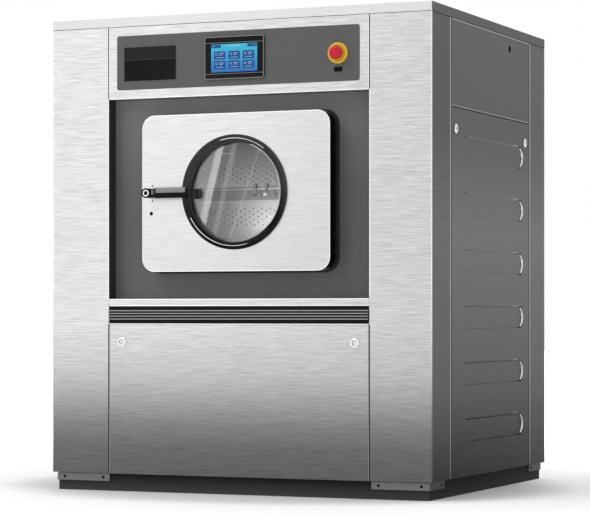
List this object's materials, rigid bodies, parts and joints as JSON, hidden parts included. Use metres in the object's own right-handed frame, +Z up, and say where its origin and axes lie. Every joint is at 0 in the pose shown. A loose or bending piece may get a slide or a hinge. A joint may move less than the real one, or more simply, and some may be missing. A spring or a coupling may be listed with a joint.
{
  "type": "barrier washer",
  "caption": "Free-standing barrier washer with a loading door in front, an unloading door behind, a suspended tub and a side-loaded perforated drum with a two-leaf hatch.",
  "frame": {"origin": "middle of the footprint on the floor", "axes": "+X to the right as seen from the loading side, +Y from the loading face to the unloading face, +Z up"},
  "size_m": [1.352, 1.262, 1.598],
  "materials": {
    "stainless": "brushed",
    "side_sheet": "satin",
    "plinth_paint": "satin",
    "bracket_zinc": "satin",
    "overlay": "matt",
    "black_gloss": "gloss",
    "black_plastic": "satin",
    "screen": "gloss",
    "yellow": "gloss",
    "red": "gloss",
    "vent_black": "satin",
    "recess_paint": "satin",
    "chrome": "polished",
    "tub_steel": "satin",
    "drum_steel": "polished",
    "casting": "rough",
    "motor_paint": "satin",
    "rubber": "matt",
    "brass": "satin",
    "glass": "clear",
    "box_sheet": "satin"
  },
  "bodies": {
    "root": {"base_frame": "plinth_paint", "base_brackets": "bracket_zinc", "front_columns": "stainless", "rear_columns": "stainless", "top_cover": "stainless", "control_fascia": "stainless", "control_inlay": "overlay", "blank_plate": "black_gloss", "touch_panel": "black_gloss", "touch_screen": "screen", "estop_collars": "yellow", "service_port": "black_plastic", "control_box": "box_sheet", "sill_strips": "stainless", "vent_louvres": "vent_black", "service_panels": "stainless", "upper_side_panels": "side_sheet", "lower_side_panels": "side_sheet", "rear_fascia": "stainless", "water_inlets": "brass", "vent_pipe": "black_plastic", "drain_pipe": "black_plastic", "damper_tubes": "plinth_paint"},
    "tub": {"tub_shell": "tub_steel", "tub_ends": "tub_steel", "tub_throats": "tub_steel", "bearing_housings": "casting", "bearings": "chrome", "door_surrounds": "recess_paint", "mouth_gaskets": "rubber", "door_hinges": "stainless", "motor": "motor_paint", "air_springs": "rubber", "damper_rods": "chrome", "drive_belt": "rubber"},
    "drum": {"drum_shell": "drum_steel", "drum_ends": "drum_steel", "drum_pulley": "casting"},
    "motor_rotor": {"motor_pulley": "casting"},
    "upper_leaf": {"hatch_upper": "drum_steel"},
    "lower_leaf": {"hatch_lower": "drum_steel"},
    "latch": {"hatch_latch": "chrome"},
    "load_door": {"load_door": "stainless", "load_ring": "black_gloss", "load_glass": "glass"},
    "load_handle": {"load_handle": "black_plastic"},
    "unload_door": {"unload_door": "stainless", "unload_ring": "black_gloss", "unload_glass": "glass"},
    "unload_handle": {"unload_handle": "black_plastic"},
    "estop_front": {"estop_button_front": "red"},
    "estop_rear": {"estop_button_rear": "red"},
    "lock_front_left": {"lock_front_left": "chrome"},
    "lock_front_right": {"lock_front_right": "chrome"},
    "lock_rear_left": {"lock_rear_left": "chrome"},
    "lock_rear_right": {"lock_rear_right": "chrome"},
    "lock_right_front": {"lock_right_front": "chrome"},
    "lock_right_rear": {"lock_right_rear": "chrome"},
    "lock_left_front": {"lock_left_front": "chrome"},
    "lock_left_rear": {"lock_left_rear": "chrome"}
  },
  "joints": [
    {"name": "tub_float", "type": "slide", "parent": "root", "child": "tub", "axis": [0, 0, 1], "range_m": [-0.01, 0.01], "stiffness_N_per_m": 200000, "springref_m": 0.02673, "deforming": ["air_springs"]},
    {"name": "drum_spin", "type": "hinge", "parent": "tub", "child": "drum", "pos_m": [0, 0, 0.9765], "axis": [1, 0, 0], "continuous": true},
    {"name": "motor_spin", "type": "hinge", "parent": "tub", "child": "motor_rotor", "pos_m": [-0.489, 0.21, 0.398], "axis": [1, 0, 0], "continuous": true},
    {"name": "hatch_upper_hinge", "type": "hinge", "parent": "drum", "child": "upper_leaf", "pos_m": [0, -0.33974, 1.1422], "axis": [-1, 0, 0], "range_deg": [0, 78]},
    {"name": "hatch_lower_hinge", "type": "hinge", "parent": "drum", "child": "lower_leaf", "pos_m": [0, -0.33974, 0.8108], "axis": [1, 0, 0], "range_deg": [0, 78]},
    {"name": "hatch_latch_slide", "type": "slide", "parent": "lower_leaf", "child": "latch", "axis": [1, 0, 0], "range_m": [0, 0.012]},
    {"name": "load_door_hinge", "type": "hinge", "parent": "tub", "child": "load_door", "pos_m": [0.322, -0.548, 0.9765], "axis": [0, 0, 1], "range_deg": [0, 100]},
    {"name": "load_handle_turn", "type": "hinge", "parent": "load_door", "child": "load_handle", "pos_m": [-0.298, -0.586, 0.9765], "axis": [0, 1, 0], "range_deg": [0, 90]},
    {"name": "unload_door_hinge", "type": "hinge", "parent": "tub", "child": "unload_door", "pos_m": [-0.322, 0.548, 0.9765], "axis": [0, 0, 1], "range_deg": [0, 100]},
    {"name": "unload_handle_turn", "type": "hinge", "parent": "unload_door", "child": "unload_handle", "pos_m": [0.298, 0.586, 0.9765], "axis": [0, -1, 0], "range_deg": [0, 90]},
    {"name": "estop_front_push", "type": "slide", "parent": "root", "child": "estop_front", "axis": [0, 1, 0], "range_m": [0, 0.004], "stiffness_N_per_m": 900, "springref_m": -0.004},
    {"name": "estop_rear_push", "type": "slide", "parent": "root", "child": "estop_rear", "axis": [0, -1, 0], "range_m": [0, 0.004], "stiffness_N_per_m": 900, "springref_m": -0.004},
    {"name": "lock_front_left_turn", "type": "hinge", "parent": "root", "child": "lock_front_left", "pos_m": [-0.413, -0.576, 0.492], "axis": [0, -1, 0], "range_deg": [0, 90]},
    {"name": "lock_front_right_turn", "type": "hinge", "parent": "root", "child": "lock_front_right", "pos_m": [0.413, -0.576, 0.492], "axis": [0, 1, 0], "range_deg": [0, 90]},
    {"name": "lock_rear_left_turn", "type": "hinge", "parent": "root", "child": "lock_rear_left", "pos_m": [0.413, 0.576, 0.492], "axis": [0, 1, 0], "range_deg": [0, 90]},
    {"name": "lock_rear_right_turn", "type": "hinge", "parent": "root", "child": "lock_rear_right", "pos_m": [-0.413, 0.576, 0.492], "axis": [0, -1, 0], "range_deg": [0, 90]},
    {"name": "lock_right_front_turn", "type": "hinge", "parent": "root", "child": "lock_right_front", "pos_m": [0.672, -0.36, 1.176], "axis": [1, 0, 0], "range_deg": [0, 90]},
    {"name": "lock_right_rear_turn", "type": "hinge", "parent": "root", "child": "lock_right_rear", "pos_m": [0.672, 0.346, 1.176], "axis": [-1, 0, 0], "range_deg": [0, 90]},
    {"name": "lock_left_front_turn", "type": "hinge", "parent": "root", "child": "lock_left_front", "pos_m": [-0.672, -0.36, 1.176], "axis": [1, 0, 0], "range_deg": [0, 90]},
    {"name": "lock_left_rear_turn", "type": "hinge", "parent": "root", "child": "lock_left_rear", "pos_m": [-0.672, 0.346, 1.176], "axis": [-1, 0, 0], "range_deg": [0, 90]}
  ],
  "couplings": [
    {"joint": "motor_spin", "follows": "drum_spin", "ratio": 4.2}
  ]
}
